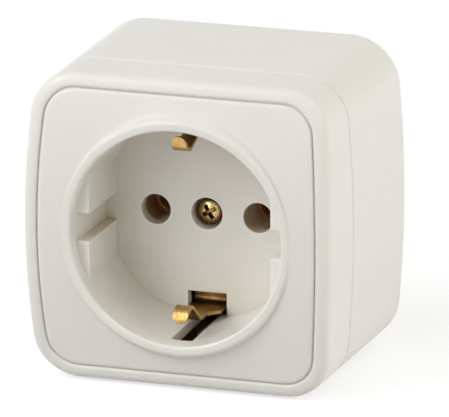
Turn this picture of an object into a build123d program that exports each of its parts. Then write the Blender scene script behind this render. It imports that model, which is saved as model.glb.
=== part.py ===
from build123d import *
import os

os.makedirs("parts", exist_ok=True)

# The wall is the plane y = 0 and the socket stands out from it towards -Y.
# A depth is a distance from the wall, so a depth of 40 lies at y = -40.

# Body outline at the wall
rear_width = 58.1
rear_height = 56.5
rear_bulge = 1.8
rear_corner = 9.2

# Body outline near the face
front_width = 56.3
front_height = 55.6
front_bulge = 1.5
front_corner = 8.3

# Crowned face, edge round and groove
face_depth = 40.9
outline_setback = 1.75
crown_radius = 130.0
edge_round = 1.6
groove_inset = 2.6
groove_width = 0.25
groove_depth = 0.5
groove_round = 0.4
groove_reach = 4.0

# Front cover
cover_wall = 1.8
seam_depth = 27.7
seam_gap = 0.3
seam_round = 0.25

# Ring round the recess
ring_proud = 0.1
ring_outer_radius = 21.1
ring_foot_radius = 23.6
ring_foot_drop = 2.9
ring_flank_sag = 0.5
ring_root_drop = 3.6
ring_round = 0.45

# Recess for the plug
well_radius = 19.4
well_floor_radius = 18.9
well_depth = 17.5
well_wall = 1.8
well_floor = 1.8

# Guide blocks at both sides of the recess
guide_half_span = 16.7
guide_notch = 5.1
guide_setback = 2.7

# Pin holes
pin_spacing = 19.0
pin_hole_radius = 2.75
pin_collar_wall = 0.9
pin_bore_length = 8.1

# Slots for the earth clips
floor_slot_width = 7.2
floor_slot_start = 14.4
wall_slot_width = 4.0
wall_slot_setback = 3.7

# Cover screw and its hole
screw_hole_radius = 2.9
screw_hole_depth = 2.8
screw_ledge = 1.0
screw_boss_wall = 0.9
screw_radius = 1.45
screw_clearance = 0.25
cover_screw_head_radius = 2.45
cover_screw_head_side = 1.0
cover_screw_head_dome = 0.85
cover_screw_length = 10.0
cover_nut_width = 5.5
cover_nut_thickness = 2.4
recess_turn = 30.0
recess_depth = 1.2
recess_width = 0.85
recess_span = 2.9
recess_taper = 9.0

# Rear box
box_wall = 2.0
box_back = 2.0
lip_clearance = 0.2
lip_wall = 1.2
lip_height = 2.5
lip_root = 4.0
lip_bite = 0.5

# Wall fixings and cable entries of the box
fixing_spacing = 42.0
fixing_slot_width = 4.2
fixing_slot_length = 7.0
entry_width = 14.0
entry_height = 8.0
entry_x = 13.0
entry_z = -20.4
breakout_width = 12.0
breakout_length = 10.0
breakout_skin = 0.9

# Contact base
base_gap = 1.4
base_rear = 2.8
base_half_width = 14.8
base_half_height = 8.6
wing_half_width = 22.4
wing_half_height = 5.2
wing_front = 14.0
spine_half_width = 4.4
spine_half_height = 15.6
spine_rear = 6.0
tower_front = 12.0
base_corner = 0.8
fit_clearance = 0.3
seat_clearance = 0.1

# Screws that hold the base in the box
ear_x = 17.5
ear_z = 12.5
ear_half = 3.6
ear_root_x = 8.6
ear_root_z = 4.3
ear_back = 10.5
ear_thickness = 2.4
box_boss_radius = 3.3
base_screw_radius = 1.4
base_screw_head_radius = 2.7
base_screw_head = 2.0
base_screw_length = 9.5
pilot_clearance = 0.05

# Back plate of the base
plate_thickness = 1.1
plate_half_width = 21.6
plate_half_height = 4.2
plate_clearance = 0.1

# Sheet metal
brass = 0.6
bend_radius = 0.4

# Contact sleeves
sleeve_inner_radius = 2.35
sleeve_mouth_gap = 0.2
sleeve_seat_gap = 0.2
sleeve_slit = 0.8
sleeve_slit_end = 7.4
sleeve_flare = 0.35
chamber_clearance = 0.7
spring_thickness = 0.5
spring_width = 3.4
spring_centre_depth = 11.2
spring_gap = 2.6
spring_gap_round = 0.03

# Terminals
terminal_x = 17.9
terminal_z = -0.8
terminal_half = 3.0
terminal_tab_depth = 7.1
nut_width = 5.4
nut_thickness = 2.3
nut_gap = 0.05
nut_chamfer = 0.3
wire_notch_width = 3.4
clamp_thickness = 1.0
clamp_size = 5.8
terminal_head_radius = 2.7
terminal_head = 2.0
terminal_shank = 3.9
driver_slot = 0.8
driver_slot_depth = 1.0

# Earth strap
strap_half_width = 3.3
tongue_half_width = 1.4
strap_eye_radius = 5.6
strap_arm_z = 17.1
strap_bend = 1.2
clip_v_drop = 10.1
clip_v_round = 0.7
clip_front_drop = 2.85
clip_curl = 2.15
clip_apex_lower = 11.3
clip_apex_upper = 14.1
clip_tip_lower = 16.0
clip_tip_upper = 17.9
tongue_start_drop = 15.1
earth_tab_start = 9.4
earth_tab_end = 14.6
earth_tab_reach = 13.0
earth_screw_x = 9.3

# Rivets of the strap
rivet_z = 10.6
rivet_radius = 1.1
rivet_head_radius = 1.9
rivet_head = 0.5
rivet_length = 4.5

# Sizes that follow from the ones above
front_outline_depth = face_depth - outline_setback
ring_depth = face_depth + ring_proud
floor_depth = ring_depth - well_depth
floor_back = floor_depth - well_floor
base_front = floor_back - base_gap
pin_x = pin_spacing / 2
screw_ledge_depth = floor_depth - screw_hole_depth
boss_end = screw_ledge_depth - screw_ledge
collar_end = floor_depth - pin_bore_length
sleeve_front = collar_end - sleeve_mouth_gap
sleeve_rear = base_rear + plate_thickness + sleeve_seat_gap
sleeve_outer_radius = sleeve_inner_radius + brass
earth_flange_x = spine_half_width + fit_clearance
earth_z = (earth_tab_start + earth_tab_end) / 2
earth_tab_width = earth_tab_end - earth_tab_start
web_front = base_front + brass
cover_back = seam_depth + seam_gap / 2
box_front = seam_depth - seam_gap / 2


def depth_plane(depth):
    """Plane parallel to the wall at a depth, looking out of the wall."""
    return Plane.XZ.offset(depth)


def drafted(front, rear, depth):
    """Size of the drafted body at a depth."""
    return rear + (front - rear) * depth / front_outline_depth


def body_section(depth, inset=0.0):
    """Body outline at a depth: flat top and bottom, bulged sides, round corners."""
    half_width = drafted(front_width, rear_width, depth) / 2 - inset
    half_height = drafted(front_height, rear_height, depth) / 2 - inset
    side = half_width - drafted(front_bulge, rear_bulge, depth)
    corner = drafted(front_corner, rear_corner, depth) - inset
    with BuildSketch(depth_plane(depth)) as section:
        with BuildLine():
            top = Line((-side, half_height), (side, half_height))
            right = ThreePointArc(top @ 1, (half_width, 0), (side, -half_height))
            bottom = Line(right @ 1, (-side, -half_height))
            ThreePointArc(bottom @ 1, (-half_width, 0), top @ 0)
        make_face()
        fillet(section.vertices(), corner)
    return section.sketch


def body_block(back, front, inset=0.0):
    """Drafted block between two depths, inside the body's surface by an inset."""
    with BuildPart() as block:
        loft(sections=[body_section(back, inset), body_section(front, inset)], ruled=True)
    return block.part


def behind_face(below=0.0):
    """All that lies behind the crowned face, or behind a surface parallel to it."""
    with BuildPart() as slab:
        with BuildSketch(Plane.YZ):
            with Locations((crown_radius - face_depth, 0)):
                Circle(crown_radius - below)
        extrude(amount=rear_width, both=True)
    return slab.part


def groove_ring():
    """Channel that runs round the face, with a floor parallel to the crown."""
    with BuildPart() as ring:
        with BuildSketch(depth_plane(front_outline_depth)):
            add(body_section(front_outline_depth, groove_inset - groove_width / 2))
            add(body_section(front_outline_depth, groove_inset + groove_width / 2), mode=Mode.SUBTRACT)
        extrude(amount=groove_reach, both=True)
        add(behind_face(groove_depth), mode=Mode.SUBTRACT)
    return ring.part


cover_block = body_block(cover_back, face_depth + groove_depth)
cover_cavity = body_block(cover_back, face_depth + groove_depth, cover_wall)
cavity_limit = behind_face(cover_wall)
face_limit = behind_face()
groove = groove_ring()

with BuildPart() as cover_hollow:
    add(cover_cavity)
    add(cavity_limit, mode=Mode.INTERSECT)

# Front cover: crowned shell, ring, recess, guides, holes and slots
with BuildPart() as front_cover:
    add(cover_block)
    add(face_limit, mode=Mode.INTERSECT)
    fillet(front_cover.faces().sort_by(Axis.Y)[0].outer_wire().edges(), edge_round)
    add(groove, mode=Mode.SUBTRACT)
    crowned = front_cover.faces().filter_by(GeomType.CYLINDER).filter_by(
        lambda face: abs(face.radius - crown_radius) < 0.01
    )
    field = crowned.sort_by(SortBy.AREA)[-1]
    land = crowned.filter_by(lambda face: len(face.inner_wires()) == 1)[0]
    fillet(field.outer_wire().edges() + land.inner_wires()[0].edges(), groove_round)
    fillet(front_cover.faces().sort_by(Axis.Y)[-1].outer_wire().edges(), seam_round)
    add(cover_hollow.part, mode=Mode.SUBTRACT)
    with BuildSketch(Plane.XY) as ring_section:
        with BuildLine():
            inner = Polyline(
                (ring_outer_radius, -ring_depth),
                (0, -ring_depth),
                (0, -floor_back),
                (well_floor_radius + well_wall, -floor_back),
                (well_radius + well_wall, ring_root_drop - ring_depth),
                (ring_foot_radius, ring_foot_drop - ring_depth),
            )
            SagittaArc(inner @ 0, inner @ 1, ring_flank_sag)
        make_face()
        fillet(ring_section.vertices().group_by(Axis.Y)[0].sort_by(Axis.X)[-1], ring_round)
    revolve(axis=Axis.Y)
    with BuildSketch(Plane.XY):
        with BuildLine():
            Polyline(
                (0, -floor_depth),
                (well_floor_radius, -floor_depth),
                (well_radius, -ring_depth),
                (0, -ring_depth),
                close=True,
            )
        make_face()
    revolve(axis=Axis.Y, mode=Mode.SUBTRACT)
    front_circles = front_cover.edges().filter_by(GeomType.CIRCLE).group_by(Axis.Y)[0]
    fillet(front_circles.sort_by(SortBy.RADIUS)[0], ring_round)
    with BuildSketch(depth_plane(floor_depth)):
        Circle(well_radius + well_wall / 3)
        Rectangle(2 * guide_half_span, 4 * well_radius, mode=Mode.SUBTRACT)
        Rectangle(4 * well_radius, guide_notch, mode=Mode.SUBTRACT)
    extrude(amount=well_depth - guide_setback)
    with BuildSketch(depth_plane(boss_end)):
        Circle(screw_hole_radius + screw_boss_wall)
    extrude(amount=floor_back - boss_end)
    with BuildSketch(depth_plane(collar_end)):
        with Locations((-pin_x, 0), (pin_x, 0)):
            Circle(pin_hole_radius + pin_collar_wall)
    extrude(amount=floor_back - collar_end)
    with BuildSketch(depth_plane(collar_end)):
        with Locations((-pin_x, 0), (pin_x, 0)):
            Circle(pin_hole_radius)
    extrude(amount=pin_bore_length, mode=Mode.SUBTRACT)
    with BuildSketch(depth_plane(screw_ledge_depth)):
        Circle(screw_hole_radius)
    extrude(amount=floor_depth - screw_ledge_depth, mode=Mode.SUBTRACT)
    with BuildSketch(depth_plane(boss_end)):
        Circle(screw_radius + screw_clearance)
    extrude(amount=screw_ledge, mode=Mode.SUBTRACT)
    slot_reach = well_floor_radius - floor_slot_start
    with BuildSketch(depth_plane(floor_back)):
        for side in (-1, 1):
            with Locations((0, side * (floor_slot_start + slot_reach / 2))):
                Rectangle(floor_slot_width, slot_reach)
    extrude(amount=well_floor, mode=Mode.SUBTRACT)
    with BuildSketch(depth_plane(floor_back)):
        for side in (-1, 1):
            with Locations((0, side * well_radius)):
                Rectangle(wall_slot_width, 4 * well_wall)
    extrude(amount=ring_depth - wall_slot_setback - floor_back, mode=Mode.SUBTRACT)
front_cover.part.label = "front_cover"
export_step(front_cover.part, "parts/front_cover.step")


lip_inset = cover_wall + lip_clearance
lip_front = cover_back + lip_height
box_block = body_block(0, box_front)
box_cavity = body_block(box_back, lip_front, box_wall)
lip_foot = body_block(box_front - lip_root, box_front, box_wall - lip_bite)
lip_block = body_block(box_front - lip_root, lip_front, lip_inset)
lip_bore = body_block(box_back, lip_front, lip_inset + lip_wall)

with BuildPart() as lip:
    add(lip_foot)
    add(lip_block)
    add(lip_bore, mode=Mode.SUBTRACT)

# Rear box: drafted tray with a lip for the cover, screw bosses, fixing slots and entries
with BuildPart() as rear_box:
    add(box_block)
    fillet(rear_box.faces().sort_by(Axis.Y)[0].outer_wire().edges(), seam_round)
    add(box_cavity, mode=Mode.SUBTRACT)
    add(lip.part)
    with BuildSketch(depth_plane(box_back)):
        with Locations((-ear_x, ear_z), (ear_x, -ear_z)):
            Circle(box_boss_radius)
    extrude(amount=ear_back - box_back)
    with BuildSketch(depth_plane(ear_back)):
        with Locations((-ear_x, ear_z), (ear_x, -ear_z)):
            Circle(base_screw_radius + pilot_clearance)
    extrude(amount=ear_thickness - base_screw_length - fit_clearance, mode=Mode.SUBTRACT)
    with BuildSketch(depth_plane(0)):
        with Locations((0, fixing_spacing / 2), (0, -fixing_spacing / 2)):
            SlotOverall(fixing_slot_length, fixing_slot_width, rotation=90)
        with Locations((entry_x, entry_z)):
            RectangleRounded(entry_width, entry_height, entry_height / 4)
    extrude(amount=box_back, mode=Mode.SUBTRACT)
    breakout_floor = drafted(front_height, rear_height, box_back) / 2 - breakout_skin
    with BuildSketch(depth_plane(box_back)):
        with Locations((0, -(breakout_floor - box_wall / 2))):
            Rectangle(breakout_width, box_wall)
    extrude(amount=breakout_length, mode=Mode.SUBTRACT)
rear_box.part.label = "rear_box"
export_step(rear_box.part, "parts/rear_box.step")

chamber_radius = sleeve_outer_radius + chamber_clearance
pocket_low = terminal_z - terminal_half - fit_clearance
pocket_high = sleeve_outer_radius + fit_clearance
boss_seat = boss_end - seat_clearance
cover_nut_rear = boss_seat - seat_clearance - cover_nut_thickness
cover_screw_end = screw_ledge_depth - cover_screw_length
screw_bore_radius = screw_radius + screw_clearance
tab_line = terminal_tab_depth - brass / 2
wall_line = sleeve_inner_radius + brass / 2

# Contact base: insulating block with chambers, terminal wings, earth tower and ears
with BuildPart() as contact_base:
    with BuildSketch(depth_plane(base_rear)):
        Rectangle(2 * base_half_width, 2 * base_half_height)
    extrude(amount=base_front - base_rear)
    with BuildSketch(depth_plane(base_rear)):
        Rectangle(2 * wing_half_width, 2 * wing_half_height)
    extrude(amount=wing_front - base_rear)
    with BuildSketch(depth_plane(spine_rear)):
        Rectangle(2 * spine_half_width, 2 * spine_half_height)
    extrude(amount=base_front - spine_rear)
    with BuildSketch(depth_plane(spine_rear)):
        Rectangle(base_half_width, spine_half_height, align=(Align.MIN, Align.MIN))
    extrude(amount=tower_front - spine_rear)
    fillet(contact_base.edges().filter_by(Axis.Y), base_corner)
    for side in (-1, 1):
        with BuildSketch(depth_plane(ear_back)):
            with Locations((side * ear_x, -side * ear_z), (side * ear_root_x, -side * ear_root_z)):
                Circle(ear_half)
            make_hull()
        extrude(amount=ear_thickness)
    with BuildSketch(depth_plane(ear_back)):
        with Locations((-ear_x, ear_z), (ear_x, -ear_z)):
            Circle(base_screw_radius + fit_clearance)
    extrude(amount=ear_thickness, mode=Mode.SUBTRACT)
    with BuildSketch(depth_plane(base_rear)):
        with Locations((-pin_x, 0), (pin_x, 0)):
            Circle(chamber_radius)
    extrude(amount=sleeve_front - base_rear, mode=Mode.SUBTRACT)
    with BuildSketch(depth_plane(base_rear)):
        for side in (-1, 1):
            with Locations((side * (pin_x + terminal_x) / 2, wall_line)):
                Rectangle(terminal_x - pin_x, brass + fit_clearance)
    extrude(amount=terminal_tab_depth - base_rear, mode=Mode.SUBTRACT)
    with BuildSketch(depth_plane(sleeve_front)):
        with Locations((-pin_x, 0), (pin_x, 0)):
            Circle(pin_hole_radius + pin_collar_wall + fit_clearance)
    extrude(amount=base_front - sleeve_front, mode=Mode.SUBTRACT)
    with BuildSketch(depth_plane(base_rear)):
        for side in (-1, 1):
            with Locations((side * terminal_x, (pocket_low + pocket_high) / 2)):
                Rectangle(2 * (terminal_half + fit_clearance), pocket_high - pocket_low)
    extrude(amount=wing_front - base_rear, mode=Mode.SUBTRACT)
    with BuildSketch(depth_plane(terminal_tab_depth)):
        for side in (-1, 1):
            with Locations((side * terminal_x, 0)):
                Rectangle(wire_notch_width, 2 * wing_half_height)
    extrude(amount=wing_front - terminal_tab_depth, mode=Mode.SUBTRACT)
    with BuildSketch(depth_plane(base_rear)):
        Rectangle(2 * (plate_half_width + plate_clearance), 2 * (plate_half_height + plate_clearance))
    extrude(amount=plate_thickness, mode=Mode.SUBTRACT)
    with BuildSketch(depth_plane(boss_seat)):
        Circle(screw_hole_radius + screw_boss_wall + fit_clearance)
    extrude(amount=base_front - boss_seat, mode=Mode.SUBTRACT)
    with BuildSketch(depth_plane(cover_nut_rear)):
        RegularPolygon(cover_nut_width / 2 + seat_clearance, 6, major_radius=False)
    extrude(amount=boss_seat - cover_nut_rear, mode=Mode.SUBTRACT)
    with BuildSketch(depth_plane(cover_nut_rear)):
        Circle(screw_bore_radius)
    extrude(amount=cover_screw_end - fit_clearance - cover_nut_rear, mode=Mode.SUBTRACT)
    with BuildSketch(depth_plane(base_front)):
        with Locations((0, rivet_z), (0, -rivet_z)):
            Circle(rivet_radius + pilot_clearance)
    extrude(amount=brass - rivet_length - fit_clearance, mode=Mode.SUBTRACT)
    with BuildSketch(depth_plane(tower_front)):
        with Locations((earth_screw_x, earth_z)):
            Rectangle(nut_width + fit_clearance, nut_width + fit_clearance)
    extrude(amount=-(nut_thickness + nut_gap), mode=Mode.SUBTRACT)
    with BuildSketch(depth_plane(tower_front)):
        with Locations((earth_screw_x, earth_z)):
            Circle(screw_bore_radius)
    extrude(amount=spine_rear - tower_front, mode=Mode.SUBTRACT)
contact_base.part.label = "contact_base"
export_step(contact_base.part, "parts/contact_base.step")

# Base plate: closes the chambers and carries the terminal nuts
with BuildPart() as base_plate:
    with BuildSketch(depth_plane(base_rear)):
        RectangleRounded(2 * plate_half_width, 2 * plate_half_height, base_corner)
    extrude(amount=plate_thickness)
base_plate.part.label = "base_plate"
export_step(base_plate.part, "parts/base_plate.step")

# Live contact: rolled and slit sleeve, side wall and folded terminal tab
with BuildPart() as live_contact:
    with BuildSketch(depth_plane(sleeve_rear)):
        with Locations((pin_x, 0)):
            Circle(sleeve_outer_radius)
            Circle(sleeve_inner_radius, mode=Mode.SUBTRACT)
    extrude(amount=sleeve_front - sleeve_rear)
    mouth = live_contact.edges().filter_by(GeomType.CIRCLE).group_by(Axis.Y)[0]
    chamfer(mouth.sort_by(SortBy.RADIUS)[0], sleeve_flare)
    with BuildSketch(depth_plane(sleeve_slit_end)):
        with Locations((pin_x, 0)):
            Rectangle(sleeve_slit, 3 * sleeve_outer_radius)
    extrude(amount=sleeve_front - sleeve_slit_end, mode=Mode.SUBTRACT)
    wall_start = pin_x + sleeve_slit
    wall_end = terminal_x - terminal_half
    with BuildSketch(depth_plane(sleeve_rear)):
        with Locations(((wall_start + wall_end) / 2, wall_line)):
            Rectangle(wall_end - wall_start, brass)
    extrude(amount=terminal_tab_depth - brass - bend_radius - sleeve_rear)
    with BuildSketch(Plane.YZ.offset(wall_end)):
        with BuildLine():
            FilletPolyline(
                (-sleeve_rear, wall_line),
                (-tab_line, wall_line),
                (-tab_line, terminal_z - terminal_half),
                radius=bend_radius + brass / 2,
            )
        trace(line_width=brass)
    extrude(amount=2 * terminal_half)
    with BuildSketch(depth_plane(terminal_tab_depth - brass)):
        with Locations((terminal_x, terminal_z)):
            Circle(screw_bore_radius)
    extrude(amount=brass, mode=Mode.SUBTRACT)
live_contact.part.label = "live_contact"
export_step(live_contact.part, "parts/live_contact.step")

with BuildPart() as neutral_contact:
    mirror(live_contact.part, about=Plane.YZ)
neutral_contact.part.label = "neutral_contact"
export_step(neutral_contact.part, "parts/neutral_contact.step")

# Sleeve springs: steel clips that press the jaws on the pin
with BuildPart() as live_contact_spring:
    with BuildSketch(depth_plane(spring_centre_depth - spring_width / 2)):
        with Locations((pin_x, 0)):
            Circle(sleeve_outer_radius + spring_gap_round + spring_thickness)
            Circle(sleeve_outer_radius + spring_gap_round, mode=Mode.SUBTRACT)
        with Locations((pin_x - sleeve_outer_radius, 0)):
            Rectangle(sleeve_outer_radius, spring_gap, mode=Mode.SUBTRACT)
    extrude(amount=spring_width)
live_contact_spring.part.label = "live_contact_spring"
export_step(live_contact_spring.part, "parts/live_contact_spring.step")

with BuildPart() as neutral_contact_spring:
    mirror(live_contact_spring.part, about=Plane.YZ)
neutral_contact_spring.part.label = "neutral_contact_spring"
export_step(neutral_contact_spring.part, "parts/neutral_contact_spring.step")

# Terminal nut, clamp plate and screw, made once at the origin and looking out along -Y
with BuildPart() as square_nut:
    with BuildSketch(Plane.XZ):
        Rectangle(nut_width, nut_width)
        Circle(screw_radius + pilot_clearance, mode=Mode.SUBTRACT)
    extrude(amount=nut_thickness)
    chamfer(square_nut.edges().filter_by(Axis.Y).sort_by(SortBy.DISTANCE)[-4:], nut_chamfer)

with BuildPart() as clamp_plate:
    with BuildSketch(Plane.XZ):
        RectangleRounded(clamp_size, clamp_size, base_corner)
        Circle(screw_bore_radius, mode=Mode.SUBTRACT)
    extrude(amount=clamp_thickness)

with BuildPart() as terminal_screw:
    with BuildSketch(Plane.XZ):
        Circle(terminal_head_radius)
    extrude(amount=terminal_head)
    fillet(terminal_screw.edges().group_by(Axis.Y)[0], terminal_head / 3)
    with BuildSketch(Plane.XZ.offset(terminal_head - driver_slot_depth)):
        Rectangle(3 * terminal_head_radius, driver_slot)
    extrude(amount=driver_slot_depth, mode=Mode.SUBTRACT)
    with BuildSketch(Plane.XZ):
        Circle(screw_radius)
    extrude(amount=-terminal_shank)

for name, x, z, tab in (
    ("live", terminal_x, terminal_z, terminal_tab_depth),
    ("neutral", -terminal_x, terminal_z, terminal_tab_depth),
    ("earth", earth_screw_x, earth_z, tower_front + brass),
):
    for piece, source, depth in (
        ("terminal_nut", square_nut, tab - brass - nut_gap - nut_thickness),
        ("clamp_plate", clamp_plate, tab),
        ("terminal_screw", terminal_screw, tab + clamp_thickness),
    ):
        with BuildPart() as placed:
            with Locations((x, -depth, z)):
                add(source.part)
        placed.part.label = name + "_" + piece
        export_step(placed.part, "parts/" + name + "_" + piece + ".step")


def clip_arm(apex, tip):
    """Upper sprung arm of the strap: forward run, ramp, curled crest and round-ended tongue."""
    web_line = -(base_front + brass / 2)
    front_line = clip_front_drop - ring_depth
    shoulder = tongue_start_drop - ring_depth
    with BuildPart() as arm:
        with BuildSketch(Plane.YZ):
            with BuildLine():
                FilletPolyline(
                    (web_line, rivet_z),
                    (web_line, strap_arm_z),
                    (clip_v_drop - ring_depth, strap_arm_z),
                    (front_line, apex),
                    (front_line, tip),
                    radius=(strap_bend, clip_v_round, clip_curl),
                )
            trace(line_width=brass)
        extrude(amount=strap_half_width, both=True)
        with BuildSketch(Plane.XY):
            with BuildLine():
                Polyline(
                    (-strap_half_width, 0),
                    (-strap_half_width, shoulder),
                    (-tongue_half_width, shoulder - (strap_half_width - tongue_half_width)),
                    (-tongue_half_width, -ring_depth),
                    (tongue_half_width, -ring_depth),
                    (tongue_half_width, shoulder - (strap_half_width - tongue_half_width)),
                    (strap_half_width, shoulder),
                    (strap_half_width, 0),
                    close=True,
                )
            make_face()
        extrude(amount=rear_height / 2, mode=Mode.INTERSECT)
        with BuildSketch(Plane.XZ.offset(-front_line - clip_curl)):
            with Locations((0, tip - tongue_half_width)):
                Rectangle(2 * strap_half_width, 2 * tongue_half_width, align=(Align.CENTER, Align.MIN))
                Circle(tongue_half_width, mode=Mode.SUBTRACT)
        extrude(amount=clip_curl + brass, mode=Mode.SUBTRACT)
    return arm.part


lower_arm = mirror(clip_arm(clip_apex_lower, clip_tip_lower), about=Plane.XY)
upper_arm = clip_arm(clip_apex_upper, clip_tip_upper)

# Earth strap: web with an eye round the screw boss, two sprung arms and a folded terminal tab
with BuildPart() as earth_strap:
    with BuildSketch(depth_plane(base_front)):
        Rectangle(2 * strap_half_width, 2 * rivet_z + strap_half_width)
        Circle(strap_eye_radius)
        with Locations((0, earth_z)):
            Rectangle(earth_flange_x + brass, earth_tab_width, align=(Align.MIN, Align.CENTER))
        Circle(screw_hole_radius + screw_boss_wall + fit_clearance, mode=Mode.SUBTRACT)
    extrude(amount=brass)
    add(lower_arm)
    add(upper_arm)
    with BuildSketch(depth_plane(tower_front)):
        with Locations((earth_flange_x, earth_z)):
            Rectangle(brass, earth_tab_width, align=(Align.MIN, Align.CENTER))
    extrude(amount=base_front - tower_front)
    with BuildSketch(depth_plane(tower_front)):
        with Locations((earth_flange_x, earth_z)):
            Rectangle(
                earth_tab_reach - earth_flange_x,
                earth_tab_width,
                align=(Align.MIN, Align.CENTER),
            )
        with Locations((earth_screw_x, earth_z)):
            Circle(screw_bore_radius, mode=Mode.SUBTRACT)
    extrude(amount=brass)
    with BuildSketch(depth_plane(base_front)):
        with Locations((0, rivet_z), (0, -rivet_z)):
            Circle(rivet_radius + pilot_clearance)
    extrude(amount=brass, mode=Mode.SUBTRACT)
earth_strap.part.label = "earth_strap"
export_step(earth_strap.part, "parts/earth_strap.step")

# Strap rivets, in blind holes of the spine
for name, side in (("strap_rivet_upper", 1), ("strap_rivet_lower", -1)):
    with BuildPart() as rivet:
        with BuildSketch(depth_plane(web_front)):
            with Locations((0, side * rivet_z)):
                Circle(rivet_head_radius)
        extrude(amount=rivet_head)
        fillet(rivet.edges().group_by(Axis.Y)[0], rivet_head / 2)
        with BuildSketch(depth_plane(web_front)):
            with Locations((0, side * rivet_z)):
                Circle(rivet_radius)
        extrude(amount=-rivet_length)
    rivet.part.label = name
    export_step(rivet.part, "parts/" + name + ".step")

# Screws that hold the base on the bosses of the box
for name, side in (("base_screw_upper", 1), ("base_screw_lower", -1)):
    with BuildPart() as base_screw:
        with BuildSketch(depth_plane(ear_back + ear_thickness)):
            with Locations((-side * ear_x, side * ear_z)):
                Circle(base_screw_head_radius)
        extrude(amount=base_screw_head)
        fillet(base_screw.edges().group_by(Axis.Y)[0], base_screw_head / 3)
        with BuildSketch(depth_plane(ear_back + ear_thickness + base_screw_head - driver_slot_depth)):
            with Locations((-side * ear_x, side * ear_z)):
                Rectangle(recess_span, driver_slot)
                Rectangle(driver_slot, recess_span)
        extrude(amount=driver_slot_depth, mode=Mode.SUBTRACT)
        with BuildSketch(depth_plane(ear_back + ear_thickness)):
            with Locations((-side * ear_x, side * ear_z)):
                Circle(base_screw_radius)
        extrude(amount=-base_screw_length)
    base_screw.part.label = name
    export_step(base_screw.part, "parts/" + name + ".step")

# Cover nut: hexagon nut held in the base behind the cover's boss
with BuildPart() as cover_nut:
    with BuildSketch(depth_plane(cover_nut_rear)):
        RegularPolygon(cover_nut_width / 2, 6, major_radius=False)
        Circle(screw_radius + pilot_clearance, mode=Mode.SUBTRACT)
    extrude(amount=cover_nut_thickness)
cover_nut.part.label = "cover_nut"
export_step(cover_nut.part, "parts/cover_nut.step")

# Cover screw: low domed head with a turned cross recess
with BuildPart() as cover_screw:
    head_rim = screw_ledge_depth + cover_screw_head_side
    head_top = head_rim + cover_screw_head_dome
    with BuildSketch(Plane.XY):
        with BuildLine():
            shoulder = Polyline(
                (0, -head_top),
                (0, -cover_screw_end),
                (screw_radius, -cover_screw_end),
                (screw_radius, -screw_ledge_depth),
                (cover_screw_head_radius, -screw_ledge_depth),
                (cover_screw_head_radius, -head_rim),
            )
            TangentArc(shoulder @ 0, shoulder @ 1, tangent=(1, 0))
        make_face()
    revolve(axis=Axis.Y)
    with BuildSketch(depth_plane(head_top)):
        Rectangle(recess_span, recess_width, rotation=recess_turn)
        Rectangle(recess_width, recess_span, rotation=recess_turn)
    extrude(amount=-recess_depth, taper=recess_taper, mode=Mode.SUBTRACT)
cover_screw.part.label = "cover_screw"
export_step(cover_screw.part, "parts/cover_screw.step")
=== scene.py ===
import math

import bpy
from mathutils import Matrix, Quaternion, Vector


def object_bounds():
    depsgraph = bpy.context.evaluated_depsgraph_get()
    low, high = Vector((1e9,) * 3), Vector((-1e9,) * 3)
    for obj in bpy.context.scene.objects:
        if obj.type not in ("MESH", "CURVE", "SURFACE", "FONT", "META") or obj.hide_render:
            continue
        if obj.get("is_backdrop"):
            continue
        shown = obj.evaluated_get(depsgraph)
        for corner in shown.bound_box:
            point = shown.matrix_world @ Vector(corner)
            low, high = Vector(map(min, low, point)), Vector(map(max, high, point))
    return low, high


bl_info = {
    "name": "Surface Mounted Socket",
    "version": (1, 0, 0),
    "blender": (4, 5, 0),
    "location": "3D View > Sidebar > Socket",
    "description": "Finishes, floor, lamps and camera of a surface mounted earthed socket",
    "category": "Object",
}

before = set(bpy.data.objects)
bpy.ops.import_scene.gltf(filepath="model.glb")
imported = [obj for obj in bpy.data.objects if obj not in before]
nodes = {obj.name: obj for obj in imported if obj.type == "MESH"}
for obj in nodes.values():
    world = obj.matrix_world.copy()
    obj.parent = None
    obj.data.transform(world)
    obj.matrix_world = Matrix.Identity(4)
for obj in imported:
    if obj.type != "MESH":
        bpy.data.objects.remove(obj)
MM = 0.001

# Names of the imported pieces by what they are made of
MOULDINGS = ("front_cover", "rear_box")
INNER_MOULDINGS = ("contact_base", "base_plate")
BRASS_PIECES = ("earth_strap", "strap_rivet_upper", "strap_rivet_lower")
SLEEVES = ("live_contact", "neutral_contact")
PASSIVATED_PIECES = ("cover_screw",)
NOT_ZINC_PLATED = MOULDINGS + INNER_MOULDINGS + BRASS_PIECES + SLEEVES + PASSIVATED_PIECES
ZINC_PIECES = tuple(sorted(set(nodes) - set(NOT_ZINC_PLATED)))

# Sizes of the mouldings' marks, how far from a thin edge its painted highlight reaches, and how far off a
# wall the painted shade of hollows still reaches, in millimetres. The real grain is finer, and is drawn as
# coarse as it needs to show.
FLOW_MARK = 14.0
ORANGE_PEEL = 1.1
FINE_GRAIN = 0.22
EDGE_HIGHLIGHT_REACH = 0.7
SHELTER_REACH = 22.0

# How open a place of the mouldings is, from 0 to 1, where it has its full painted hollow shade and its full
# open tone
HOLLOW_AT = 0.12
OPEN_AT = 0.42

# Millimetres over which the light runs round an edge of the mouldings
EDGE_SOFTNESS = 0.3
RING_SOFTNESS = 1.0
SEAM_SOFTNESS = 0.9

# How much of the ring's extra softness the groove round the field gets
GROOVE_SHARE = 0.55

# Between which values the softness changes: radii round the recess, then places along Y, in millimetres
RIM = (20.3, 21.0)
RING_FOOT = (25.2, 24.2)
FACE = (-37.0, -38.0)
BOX_EDGE = (-27.75, -27.65)
BOX_WALL = (-26.2, -26.6)

# Where the box's inside, which gets painted shade, starts along Y, in millimetres, and how much a wall there
# faces away from outside
BEHIND_RECESS = (-21.5, -20.5)
FACING_INWARDS = (-0.2, -0.5)

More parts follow.
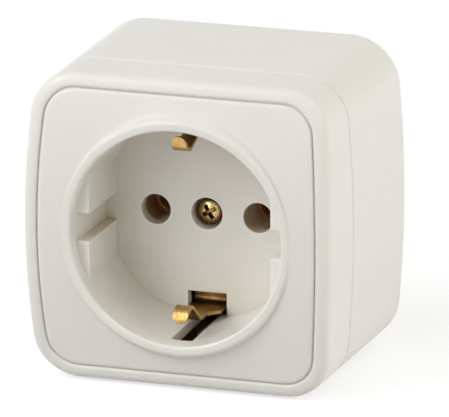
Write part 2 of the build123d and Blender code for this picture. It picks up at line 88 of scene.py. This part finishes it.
# Sizes of the metals' marks, and the rounding of their edges, in millimetres. Real pits and turning marks are
# finer, and are drawn as coarse as they need to show.
BRASS_PIT = 0.4
BRASS_STAIN = 1.8
SLEEVE_CLOUD = 0.8
FILM_PATCH = 1.3
TURNING_MARK = 0.35
ZINC_CLOUD = 0.9
METAL_EDGE = 0.1

# How much longer than wide the press leaves the brass's pits
PIT_STRETCH = 1.4

# How many rays feel for neighbouring walls, and how many feel round an edge
SHELTER_SAMPLES = 8
EDGE_SAMPLES = 6

# A Mix node's sockets have the same names for numbers and colours, so colours go by place
MIX_FIRST = 6
MIX_SECOND = 7
MIX_RESULT = 2

BLACK = (0.0, 0.0, 0.0, 1.0)
WHITE = (1.0, 1.0, 1.0, 1.0)

# Floor: its width in metres, how pale the paper is, what the camera adds to it round the socket, and between
# which distances, in metres, that grows to full white
FLOOR_WIDTH = 6.0
FLOOR_TONE = (0.54, 0.54, 0.54, 1.0)
FLOOR_LIFT = 0.64
LIFT_START = 0.2
LIFT_END = 0.7

# Air: colour and strength of the even light of the room
AIR_COLOUR = (1.0, 0.965, 0.91, 1.0)
AIR_LEVEL = 0.39

# Softboxes: degrees round to the right from straight ahead, degrees up, metres and watts.
# The side ones stay out of the sheen, or they would wash out the top where it is seen from low down.
LAMPS = (
    {
        "name": "key_upper_left",
        "round_degrees": -50,
        "up_degrees": 39,
        "distance": 0.9,
        "width": 0.5,
        "power": 3.5,
        "colour": (0.975, 1.0, 1.045),
        "in_sheen": True,
    },
    {
        "name": "fill_front_left",
        "round_degrees": -25,
        "up_degrees": 18,
        "distance": 1.1,
        "width": 0.5,
        "power": 1.9,
        "colour": (0.975, 1.0, 1.045),
        "in_sheen": True,
    },
    {
        "name": "side_right",
        "round_degrees": 85,
        "up_degrees": 14,
        "distance": 0.8,
        "width": 0.5,
        "power": 2.7,
        "colour": (0.99, 1.0, 0.99),
        "in_sheen": False,
    },
    {
        "name": "back_right",
        "round_degrees": 125,
        "up_degrees": 25,
        "distance": 0.8,
        "width": 0.5,
        "power": 0.45,
        "colour": (1.0, 1.0, 0.96),
        "in_sheen": False,
    },
)

# Camera: how far the recess's mouth, which it is aimed by, stands off the wall, and its sensor's width, in
# millimetres, and the nearest and the farthest that it sees, in metres
MOUTH_HEIGHT = 40.3
SENSOR_WIDTH = 36.0
NEAR_LIMIT = 0.05
FAR_LIMIT = 20.0


# Small tools


def linear(code):
    """Linear colour of an sRGB hex value."""
    channels = (int(code[i : i + 2], 16) / 255 for i in (1, 3, 5))
    return tuple(c / 12.92 if c <= 0.04045 else ((c + 0.055) / 1.055) ** 2.4 for c in channels) + (1.0,)


def add(tree, kind, inputs=None, out=None, stops=(), **settings):
    """Adds a shader node and returns one of its outputs, the first live one unless out says which.

    Inputs go by name, or by place where names repeat. An input gets a value, or a link from another node's
    output. Stops are the places and colours of a colour ramp.
    """
    node = tree.nodes.new(kind)
    for key, value in settings.items():
        setattr(node, key, value)
    for key, value in (inputs or {}).items():
        if isinstance(value, bpy.types.NodeSocket):
            tree.links.new(value, node.inputs[key])
        else:
            node.inputs[key].default_value = value
    for number, (place, colour) in enumerate(stops):
        elements = node.color_ramp.elements
        element = elements[number] if number < len(elements) else elements.new(place)
        element.position = place
        element.color = colour
    if out is not None:
        return node.outputs[out]
    return next((socket for socket in node.outputs if socket.enabled), None)


def empty_tree(owner):
    """Node tree of a material or world, with nothing in it."""
    owner.use_nodes = True
    owner.node_tree.nodes.clear()
    return owner.node_tree


def new_material(name):
    """Empty material, its tree, and the object's own coordinates in millimetres."""
    material = bpy.data.materials.new(name)
    tree = empty_tree(material)
    metres = add(tree, "ShaderNodeTexCoord", out="Object")
    place = add(tree, "ShaderNodeMapping", {"Vector": metres, "Scale": (1 / MM, 1 / MM, 1 / MM)})
    return material, tree, place


def give(names, material):
    """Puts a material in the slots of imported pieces."""
    for name in names:
        mesh = nodes[name].data
        mesh.materials.clear()
        mesh.materials.append(material)


def direction(round_angle, up_angle):
    """Unit vector from the socket, turned to the right from straight ahead and then up."""
    flat = math.cos(up_angle)
    return Vector((math.sin(round_angle) * flat, -math.cos(round_angle) * flat, math.sin(up_angle)))


# Masks on the mouldings


def away_from_axis(tree, place):
    """Place in the plane of the wall, seen from the middle of the recess."""
    return add(tree, "ShaderNodeVectorMath", {0: place, 1: (1.0, 0.0, 1.0)}, operation="MULTIPLY")


def softness(tree, place):
    """Radius in metres by which edges look rounded.

    It is wide at the ring's foot and at the box's front edge, less so at the groove, and small elsewhere.
    """
    sideways = away_from_axis(tree, place)
    radius = add(tree, "ShaderNodeVectorMath", {0: sideways}, out="Value", operation="LENGTH")
    depth = add(tree, "ShaderNodeSeparateXYZ", {"Vector": place}, out="Y")

    limits = {"Value": radius, "From Min": RIM[0], "From Max": RIM[1]}
    past_rim = add(tree, "ShaderNodeMapRange", limits)
    limits = {"Value": radius, "From Min": RING_FOOT[0], "From Max": RING_FOOT[1], "To Min": GROOVE_SHARE}
    on_foot = add(tree, "ShaderNodeMapRange", limits)
    limits = {"Value": depth, "From Min": FACE[0], "From Max": FACE[1]}
    on_face = add(tree, "ShaderNodeMapRange", limits)
    ring = add(tree, "ShaderNodeMath", {0: past_rim, 1: on_foot}, operation="MULTIPLY")
    front = add(tree, "ShaderNodeMath", {0: ring, 1: on_face}, operation="MULTIPLY")
    limits = {"Value": front, "To Min": EDGE_SOFTNESS * MM, "To Max": RING_SOFTNESS * MM}
    front_radius = add(tree, "ShaderNodeMapRange", limits)

    limits = {"Value": depth, "From Min": BOX_EDGE[0], "From Max": BOX_EDGE[1]}
    past_edge = add(tree, "ShaderNodeMapRange", limits)
    limits = {"Value": depth, "From Min": BOX_WALL[0], "From Max": BOX_WALL[1]}
    short_of_wall = add(tree, "ShaderNodeMapRange", limits)
    seam = add(tree, "ShaderNodeMath", {0: past_edge, 1: short_of_wall}, operation="MULTIPLY")
    limits = {"Value": seam, "To Max": (SEAM_SOFTNESS - EDGE_SOFTNESS) * MM}
    extra = add(tree, "ShaderNodeMapRange", limits)
    return add(tree, "ShaderNodeMath", {0: front_radius, 1: extra}, operation="ADD")


def inside_shade_mask(tree, place):
    """Mask of the painted shade inside the box: 1 on walls that face into the box behind the recess's floor,
    0 on what faces outwards.
    """
    facing = add(tree, "ShaderNodeTexCoord", out="Normal")
    outwards = add(tree, "ShaderNodeVectorMath", {0: away_from_axis(tree, place)}, operation="NORMALIZE")
    along = add(tree, "ShaderNodeVectorMath", {0: outwards, 1: facing}, out="Value", operation="DOT_PRODUCT")
    rearwards = add(tree, "ShaderNodeSeparateXYZ", {"Vector": facing}, out="Y")
    least = add(tree, "ShaderNodeMath", {0: along, 1: rearwards}, operation="MINIMUM")
    limits = {"Value": least, "From Min": FACING_INWARDS[0], "From Max": FACING_INWARDS[1]}
    inwards = add(tree, "ShaderNodeMapRange", limits)
    depth = add(tree, "ShaderNodeSeparateXYZ", {"Vector": place}, out="Y")
    limits = {"Value": depth, "From Min": BEHIND_RECESS[0], "From Max": BEHIND_RECESS[1]}
    behind = add(tree, "ShaderNodeMapRange", limits)
    return add(tree, "ShaderNodeMath", {0: inwards, 1: behind}, operation="MULTIPLY")


# Finishes


def moulded_plastic(name, tones, gloss, shine, grain_depth):
    """Moulded thermoplastic.

    The polished tool leaves a soft sheen with the faintest orange peel and the melt leaves slow flow marks.
    Thin edges get a painted highlight, hollows and gaps a warm and brown painted shade, the box's inside a
    brown one.
    """
    material, tree, place = new_material(name)

    flow = add(tree, "ShaderNodeTexNoise", {"Vector": place, "Scale": 1 / FLOW_MARK, "Detail": 3.0})
    open_tones = ((0.3, tones["open"]), (0.8, tones["shade"]))
    marked = add(tree, "ShaderNodeValToRGB", {"Fac": flow}, stops=open_tones)

    # Painted shade: hollows get a warmer colour and the narrowest gaps a brown one, by how little room the
    # walls round them leave for light
    reach = {"Distance": SHELTER_REACH * MM}
    light_in = add(tree, "ShaderNodeAmbientOcclusion", reach, "AO", samples=SHELTER_SAMPLES, only_local=True)
    hollow_shade_tones = ((0.0, tones["deep"]), (HOLLOW_AT, tones["hollow_shade"]))
    hollow_shade = add(tree, "ShaderNodeValToRGB", {"Fac": light_in}, stops=hollow_shade_tones)
    opening = ((HOLLOW_AT, BLACK), (OPEN_AT, WHITE))
    opened = add(tree, "ShaderNodeValToRGB", {"Fac": light_in}, stops=opening)
    mix = {"Factor": opened, MIX_FIRST: hollow_shade, MIX_SECOND: marked}
    shaded = add(tree, "ShaderNodeMix", mix, MIX_RESULT, data_type="RGBA")

    # Painted highlight: the colour turns paler close to thin edges
    reach = {"Distance": EDGE_HIGHLIGHT_REACH * MM}
    thickness = add(tree, "ShaderNodeAmbientOcclusion", reach, "AO", samples=SHELTER_SAMPLES, inside=True)
    thin = add(tree, "ShaderNodeValToRGB", {"Fac": thickness}, stops=((0.45, WHITE), (0.9, BLACK)))
    mix = {"Factor": thin, MIX_FIRST: shaded, MIX_SECOND: tones["edge"]}
    outside = add(tree, "ShaderNodeMix", mix, MIX_RESULT, data_type="RGBA")
    # Painted shade: walls inside the box get a brown colour for the shade there
    mix = {"Factor": inside_shade_mask(tree, place), MIX_FIRST: outside, MIX_SECOND: tones["inside"]}
    body = add(tree, "ShaderNodeMix", mix, MIX_RESULT, data_type="RGBA")

    peel = add(tree, "ShaderNodeTexNoise", {"Vector": place, "Scale": 1 / ORANGE_PEEL, "Detail": 2.0})
    grain = add(tree, "ShaderNodeTexNoise", {"Vector": place, "Scale": 1 / FINE_GRAIN, "Detail": 3.0})
    sheen = add(tree, "ShaderNodeMapRange", {"Value": peel, "To Min": gloss - 0.03, "To Max": gloss + 0.05})
    rounded = add(tree, "ShaderNodeBevel", {"Radius": softness(tree, place)}, samples=EDGE_SAMPLES)
    relief = {"Height": peel, "Strength": 0.25, "Distance": grain_depth * MM, "Normal": rounded}
    wavy = add(tree, "ShaderNodeBump", relief)
    relief = {"Height": grain, "Strength": 0.3, "Distance": grain_depth * MM / 3, "Normal": wavy}
    fine = add(tree, "ShaderNodeBump", relief)
    shader = {
        "Base Color": body,
        "Roughness": sheen,
        "IOR": 1.49,
        "Normal": fine,
        "Specular IOR Level": shine,
        "Subsurface Weight": 0.5,
        "Subsurface Radius": (1.0, 0.95, 0.9),
        "Subsurface Scale": 0.9 * MM,
    }
    surface = add(tree, "ShaderNodeBsdfPrincipled", shader)
    add(tree, "ShaderNodeOutputMaterial", {"Surface": surface})
    return material


def rolled_brass(name):
    """Stamped brass strip: soft gold, pitted by the press, with painted dark brown shade where it lies deep
    in its slot.
    """
    material, tree, place = new_material(name)

    long_pit = BRASS_PIT * PIT_STRETCH
    stretched = {"Vector": place, "Scale": (1 / BRASS_PIT, 1 / long_pit, 1 / long_pit)}
    rolled = add(tree, "ShaderNodeMapping", stretched)
    pits = add(tree, "ShaderNodeTexNoise", {"Vector": rolled, "Scale": 1.0, "Detail": 3.0})
    stain = add(tree, "ShaderNodeTexNoise", {"Vector": place, "Scale": 1 / BRASS_STAIN, "Detail": 4.0})
    golds = ((0.3, linear("#D2B17A")), (0.6, linear("#BF9757")), (0.85, linear("#9B753B")))
    gold = add(tree, "ShaderNodeValToRGB", {"Fac": stain}, stops=golds)

    # Painted shade: the brass turns dark brown where nearby walls leave light little room
    light_in = add(tree, "ShaderNodeAmbientOcclusion", {"Distance": 4.0 * MM}, "AO", samples=SHELTER_SAMPLES)
    opened = add(tree, "ShaderNodeValToRGB", {"Fac": light_in}, stops=((0.3, BLACK), (0.7, WHITE)))
    mix = {"Factor": opened, MIX_FIRST: linear("#3A1F0A"), MIX_SECOND: gold}
    body = add(tree, "ShaderNodeMix", mix, MIX_RESULT, data_type="RGBA")

    rough = add(tree, "ShaderNodeMapRange", {"Value": pits, "To Min": 0.22, "To Max": 0.48})
    rounded = add(tree, "ShaderNodeBevel", {"Radius": METAL_EDGE * MM}, samples=EDGE_SAMPLES)
    relief = {"Height": pits, "Strength": 1.0, "Distance": 0.12 * MM, "Normal": rounded}
    pitted = add(tree, "ShaderNodeBump", relief)
    shader = {"Base Color": body, "Metallic": 1.0, "Roughness": rough, "Normal": pitted}
    surface = add(tree, "ShaderNodeBsdfPrincipled", shader)
    add(tree, "ShaderNodeOutputMaterial", {"Surface": surface})
    return material


def tarnished_brass(name):
    """Inside of the contact sleeves: matt brown brass that no plug has rubbed bright."""
    material, tree, place = new_material(name)
    cloud = add(tree, "ShaderNodeTexNoise", {"Vector": place, "Scale": 1 / SLEEVE_CLOUD, "Detail": 3.0})
    browns = ((0.3, linear("#E8B478")), (0.75, linear("#CC9256")))
    body = add(tree, "ShaderNodeValToRGB", {"Fac": cloud}, stops=browns)
    rough = add(tree, "ShaderNodeMapRange", {"Value": cloud, "To Min": 0.4, "To Max": 0.55})
    shader = {"Base Color": body, "Metallic": 0.4, "Roughness": rough}
    surface = add(tree, "ShaderNodeBsdfPrincipled", shader)
    add(tree, "ShaderNodeOutputMaterial", {"Surface": surface})
    return material


def passivated_zinc(name):
    """Yellow chromated zinc plating: a thin film that runs from gold to pink and green, with painted dark
    brown shade in the cross.
    """
    material, tree, place = new_material(name)

    film = add(tree, "ShaderNodeTexNoise", {"Vector": place, "Scale": 1 / FILM_PATCH, "Detail": 2.0})
    tints = (
        (0.32, linear("#C8B45C")),
        (0.44, linear("#EAD68A")),
        (0.5, linear("#E09A86")),
        (0.56, linear("#D5C870")),
        (0.64, linear("#A5B46A")),
        (0.75, linear("#C07A52")),
    )
    bright = add(tree, "ShaderNodeValToRGB", {"Fac": film}, stops=tints)
    # Painted shade: dark brown in the cross recess, where its walls close round it
    light_in = add(tree, "ShaderNodeAmbientOcclusion", {"Distance": 2.4 * MM}, "AO", samples=SHELTER_SAMPLES)
    opened = add(tree, "ShaderNodeValToRGB", {"Fac": light_in}, stops=((0.3, BLACK), (0.85, WHITE)))
    mix = {"Factor": opened, MIX_FIRST: linear("#54391A"), MIX_SECOND: bright}
    body = add(tree, "ShaderNodeMix", mix, MIX_RESULT, data_type="RGBA")

    turning = add(tree, "ShaderNodeTexNoise", {"Vector": place, "Scale": 1 / TURNING_MARK, "Detail": 2.0})
    rough = add(tree, "ShaderNodeMapRange", {"Value": turning, "To Min": 0.1, "To Max": 0.22})
    rounded = add(tree, "ShaderNodeBevel", {"Radius": METAL_EDGE * MM}, samples=EDGE_SAMPLES)
    relief = {"Height": turning, "Strength": 0.35, "Distance": 0.03 * MM, "Normal": rounded}
    turned = add(tree, "ShaderNodeBump", relief)
    shader = {"Base Color": body, "Metallic": 1.0, "Roughness": rough, "Normal": turned}
    surface = add(tree, "ShaderNodeBsdfPrincipled", shader)
    add(tree, "ShaderNodeOutputMaterial", {"Surface": surface})
    return material


def zinc_plate(name):
    """Zinc plated steel: cool grey with a fine cloudy grain."""
    material, tree, place = new_material(name)
    cloud = add(tree, "ShaderNodeTexNoise", {"Vector": place, "Scale": 1 / ZINC_CLOUD, "Detail": 4.0})
    greys = ((0.3, linear("#C3C6C9")), (0.75, linear("#A3A7AB")))
    body = add(tree, "ShaderNodeValToRGB", {"Fac": cloud}, stops=greys)
    rough = add(tree, "ShaderNodeMapRange", {"Value": cloud, "To Min": 0.28, "To Max": 0.42})
    shader = {"Base Color": body, "Metallic": 1.0, "Roughness": rough}
    surface = add(tree, "ShaderNodeBsdfPrincipled", shader)
    add(tree, "ShaderNodeOutputMaterial", {"Surface": surface})
    return material


# Floor, air, lamps and camera


def seen(tree):
    """1 for what the camera, a reflection or glass looks at, 0 for the light that falls on the socket."""
    looked_at = add(tree, "ShaderNodeLightPath", out="Is Camera Ray")
    rays = looked_at.node.outputs
    for name in ("Is Glossy Ray", "Is Transmission Ray"):
        looked_at = add(tree, "ShaderNodeMath", {0: looked_at, 1: rays[name]}, operation="MAXIMUM")
    return looked_at


def make_floor():
    """White floor that keeps the shadow, with a camera-only lift that fades into the white air far away."""
    for item in bpy.context.selected_objects:
        item.select_set(False)
    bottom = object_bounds()[0].z
    bpy.ops.mesh.primitive_plane_add(size=FLOOR_WIDTH, location=(0, 0, 0))
    floor = bpy.context.object
    floor.name = "floor"
    for vertex in floor.data.vertices:
        vertex.co.z = bottom

    material = bpy.data.materials.new("white_paper")
    tree = empty_tree(material)
    paper = add(tree, "ShaderNodeBsdfDiffuse", {"Color": FLOOR_TONE})
    place = add(tree, "ShaderNodeTexCoord", out="Object")
    away = add(tree, "ShaderNodeVectorMath", {0: place}, out="Value", operation="LENGTH")
    limits = {"Value": away, "From Min": LIFT_START, "From Max": LIFT_END, "To Min": FLOOR_LIFT}
    level = add(tree, "ShaderNodeMapRange", limits)
    strength = add(tree, "ShaderNodeMath", {0: level, 1: seen(tree)}, operation="MULTIPLY")
    lift = add(tree, "ShaderNodeEmission", {"Color": WHITE, "Strength": strength})
    surface = add(tree, "ShaderNodeAddShader", {0: paper, 1: lift})
    add(tree, "ShaderNodeOutputMaterial", {"Surface": surface})
    floor.data.materials.append(material)
    floor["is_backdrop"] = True


def make_world(scene):
    """Even studio air, pure white where the camera, a reflection or glass looks at it."""
    world = bpy.data.worlds.new("studio_air")
    scene.world = world
    tree = empty_tree(world)
    air = add(tree, "ShaderNodeBackground", {"Color": AIR_COLOUR, "Strength": AIR_LEVEL})
    white = add(tree, "ShaderNodeBackground", {"Color": WHITE, "Strength": 1.0})
    mixed = add(tree, "ShaderNodeMixShader", {0: seen(tree), 1: air, 2: white})
    add(tree, "ShaderNodeOutputWorld", {"Surface": mixed})


def make_lamp(scene, name, round_degrees, up_degrees, distance, width, power, colour, in_sheen):
    """Square softbox that looks at the middle of the socket."""
    towards = direction(math.radians(round_degrees), math.radians(up_degrees))
    low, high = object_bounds()
    data = bpy.data.lights.new(name, "AREA")
    data.shape = "SQUARE"
    data.size = width
    data.energy = power
    data.color = colour
    lamp = bpy.data.objects.new(name, data)
    lamp.location = (low + high) / 2 + towards * distance
    lamp.rotation_mode = "QUATERNION"
    lamp.rotation_quaternion = towards.to_track_quat("Z", "Y")
    lamp.visible_glossy = in_sheen
    scene.collection.objects.link(lamp)


def make_camera(scene):
    """Long lens from a little right and above, aimed beside the recess."""
    values = scene.socket_stage
    back = direction(values.azimuth, values.elevation)
    turn = back.to_track_quat("Z", "Y") @ Quaternion((0, 0, 1), values.roll)
    right = turn @ Vector((1, 0, 0))
    up = turn @ Vector((0, 1, 0))
    mouth = Vector((0, -MOUTH_HEIGHT * MM, 0))
    data = bpy.data.cameras.new("camera")
    data.sensor_width = SENSOR_WIDTH
    data.lens = values.lens
    data.clip_start = NEAR_LIMIT
    data.clip_end = FAR_LIMIT
    camera = bpy.data.objects.new("camera", data)
    camera.rotation_mode = "QUATERNION"
    camera.rotation_quaternion = turn
    camera.location = mouth + back * values.distance + right * values.aim_right + up * values.aim_up
    scene.collection.objects.link(camera)
    scene.camera = camera


# Values that a user would change


def tone(name, description, code):
    """Colour property with an sRGB hex value as its default."""
    return bpy.props.FloatVectorProperty(
        name=name, description=description, default=linear(code), size=4, min=0.0, max=1.0, subtype="COLOR"
    )


class SocketFinish(bpy.types.PropertyGroup):
    """Colours of the mouldings, among them painted shade and a painted highlight"""

    body_colour: tone("Body colour", "Warm white of the cover and the box", "#F1EFE8")
    body_shade: tone("Body shade", "Slightly deeper tone of the flow marks", "#EFECE4")
    # Painted shade: warmer colour deep in the recess and the holes
    painted_hollow_shade: tone("Hollow colour", "Warmer tone deep in the recess and the holes", "#E0D0B0")
    # Painted shade: brown colour at the bottom of the narrowest gaps
    painted_gap_shade: tone("Deep colour", "Brown tone at the bottom of the narrowest gaps", "#6B3A16")
    # Painted highlight: paler colour along thin edges
    painted_edge_highlight: tone("Edge colour", "Paler tone of thin edges, where light comes through", "#FFFDF8")
    # Painted shade: brown colour on the walls inside the box, where shade falls
    painted_inside_shade: tone("Inside colour", "Dusty brown of the walls inside the box", "#B58A68")
    inner_colour: tone("Inner colour", "Brown of the contact base and its plate", "#3A1C0C")
    # Darker tone of the flow marks, also used as painted shade in the hollows and inside the box
    inner_marks_and_painted_shade: tone("Inner shade", "Darker tone of its flow marks and hollows", "#2A1208")
    # Painted shade: darkest colour at the bottom of the pockets
    inner_painted_pocket_shade: tone("Inner deep tone", "Darkest tone, at the bottom of its pockets", "#1E0C05")


class SocketStage(bpy.types.PropertyGroup):
    """Where the camera stands and what it looks at"""

    azimuth: bpy.props.FloatProperty(
        name="Azimuth",
        description="Camera's turn round the socket, to the right of straight ahead",
        default=math.radians(18.851),
        subtype="ANGLE",
    )
    elevation: bpy.props.FloatProperty(
        name="Elevation",
        description="Camera's height above the horizon",
        default=math.radians(16.057),
        subtype="ANGLE",
    )
    roll: bpy.props.FloatProperty(
        name="Roll",
        description="Turn of the camera about its own axis",
        default=math.radians(-0.273),
        subtype="ANGLE",
    )
    distance: bpy.props.FloatProperty(
        name="Distance",
        description="From the recess's mouth to the camera",
        default=1.2045,
        unit="LENGTH",
    )
    aim_right: bpy.props.FloatProperty(
        name="Aim right",
        description="How far right of the recess the camera aims",
        default=8.496 * MM,
        unit="LENGTH",
    )
    aim_up: bpy.props.FloatProperty(
        name="Aim up",
        description="How far above the middle of the recess the camera aims",
        default=5.311 * MM,
        unit="LENGTH",
    )
    lens: bpy.props.FloatProperty(
        name="Lens",
        description="Focal length on a 36 mm wide sensor, in millimetres",
        default=555.98,
        unit="CAMERA",
    )


# Pieces and stage


class SOCKET_OT_mouldings(bpy.types.Operator):
    """Give the cover and the rear box their moulded plastic"""

    bl_idname = "socket.mouldings"
    bl_label = "Cover and Box"

    def execute(self, context):
        values = context.scene.socket_finish
        # The hollow, deep and inside tones are painted shade, and the edge tone is a painted highlight
        tones = {
            "open": values.body_colour,
            "shade": values.body_shade,
            "hollow_shade": values.painted_hollow_shade,
            "deep": values.painted_gap_shade,
            "edge": values.painted_edge_highlight,
            "inside": values.painted_inside_shade,
        }
        plastic = moulded_plastic("warm_white_abs", tones, gloss=0.3, shine=0.5, grain_depth=0.02)
        give(MOULDINGS, plastic)
        return {"FINISHED"}


class SOCKET_OT_inner_mouldings(bpy.types.Operator):
    """Give the contact base and its plate their duller plastic"""

    bl_idname = "socket.inner_mouldings"
    bl_label = "Contact Base"

    def execute(self, context):
        values = context.scene.socket_finish
        # The hollow, deep and inside tones are painted shade
        tones = {
            "open": values.inner_colour,
            "shade": values.inner_marks_and_painted_shade,
            "hollow_shade": values.inner_marks_and_painted_shade,
            "deep": values.inner_painted_pocket_shade,
            "edge": values.inner_colour,
            "inside": values.inner_marks_and_painted_shade,
        }
        plastic = moulded_plastic("brown_phenolic", tones, gloss=0.6, shine=0.1, grain_depth=0.03)
        give(INNER_MOULDINGS, plastic)
        return {"FINISHED"}


class SOCKET_OT_brass(bpy.types.Operator):
    """Give the strap, the rivets and the sleeves their brass"""

    bl_idname = "socket.brass"
    bl_label = "Brass Strips"

    def execute(self, context):
        give(BRASS_PIECES, rolled_brass("rolled_brass"))
        give(SLEEVES, tarnished_brass("tarnished_brass"))
        return {"FINISHED"}


class SOCKET_OT_zinc(bpy.types.Operator):
    """Give the screws, nuts, clamp plates and springs their zinc"""

    bl_idname = "socket.zinc"
    bl_label = "Zinc Plated Parts"

    def execute(self, context):
        give(ZINC_PIECES, zinc_plate("zinc_plated_steel"))
        give(PASSIVATED_PIECES, passivated_zinc("yellow_passivated_zinc"))
        return {"FINISHED"}


class SOCKET_OT_stage(bpy.types.Operator):
    """Make the floor, the air, the lamps and the camera"""

    bl_idname = "socket.stage"
    bl_label = "Stage"

    def execute(self, context):
        make_floor()
        make_world(context.scene)
        for lamp in LAMPS:
            make_lamp(context.scene, **lamp)
        make_camera(context.scene)
        return {"FINISHED"}


class SOCKET_PT_panel(bpy.types.Panel):
    """Lists the socket's values, pieces and stage"""

    bl_idname = "SOCKET_PT_panel"
    bl_label = "Socket"
    bl_space_type = "VIEW_3D"
    bl_region_type = "UI"
    bl_category = "Socket"

    def draw(self, context):
        for group in (context.scene.socket_finish, context.scene.socket_stage):
            column = self.layout.column()
            for name in group.__annotations__:
                column.prop(group, name)
        for operator in OPERATORS:
            self.layout.operator(operator.bl_idname)


OPERATORS = (
    SOCKET_OT_mouldings,
    SOCKET_OT_inner_mouldings,
    SOCKET_OT_brass,
    SOCKET_OT_zinc,
    SOCKET_OT_stage,
)
CLASSES = (SocketFinish, SocketStage, *OPERATORS, SOCKET_PT_panel)


def register():
    """Makes the classes known and hangs the values on the scene."""
    for cls in CLASSES:
        bpy.utils.register_class(cls)
    bpy.types.Scene.socket_finish = bpy.props.PointerProperty(type=SocketFinish)
    bpy.types.Scene.socket_stage = bpy.props.PointerProperty(type=SocketStage)


def unregister():
    """Takes back what register did."""
    del bpy.types.Scene.socket_stage
    del bpy.types.Scene.socket_finish
    for cls in reversed(CLASSES):
        bpy.utils.unregister_class(cls)


def main():
    register()
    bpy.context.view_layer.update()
    bpy.ops.socket.mouldings()
    bpy.ops.socket.inner_mouldings()
    bpy.ops.socket.brass()
    bpy.ops.socket.zinc()
    bpy.ops.socket.stage()
    scene = bpy.context.scene
    scene.view_settings.view_transform = "Standard"


if __name__ == "__main__":
    main()
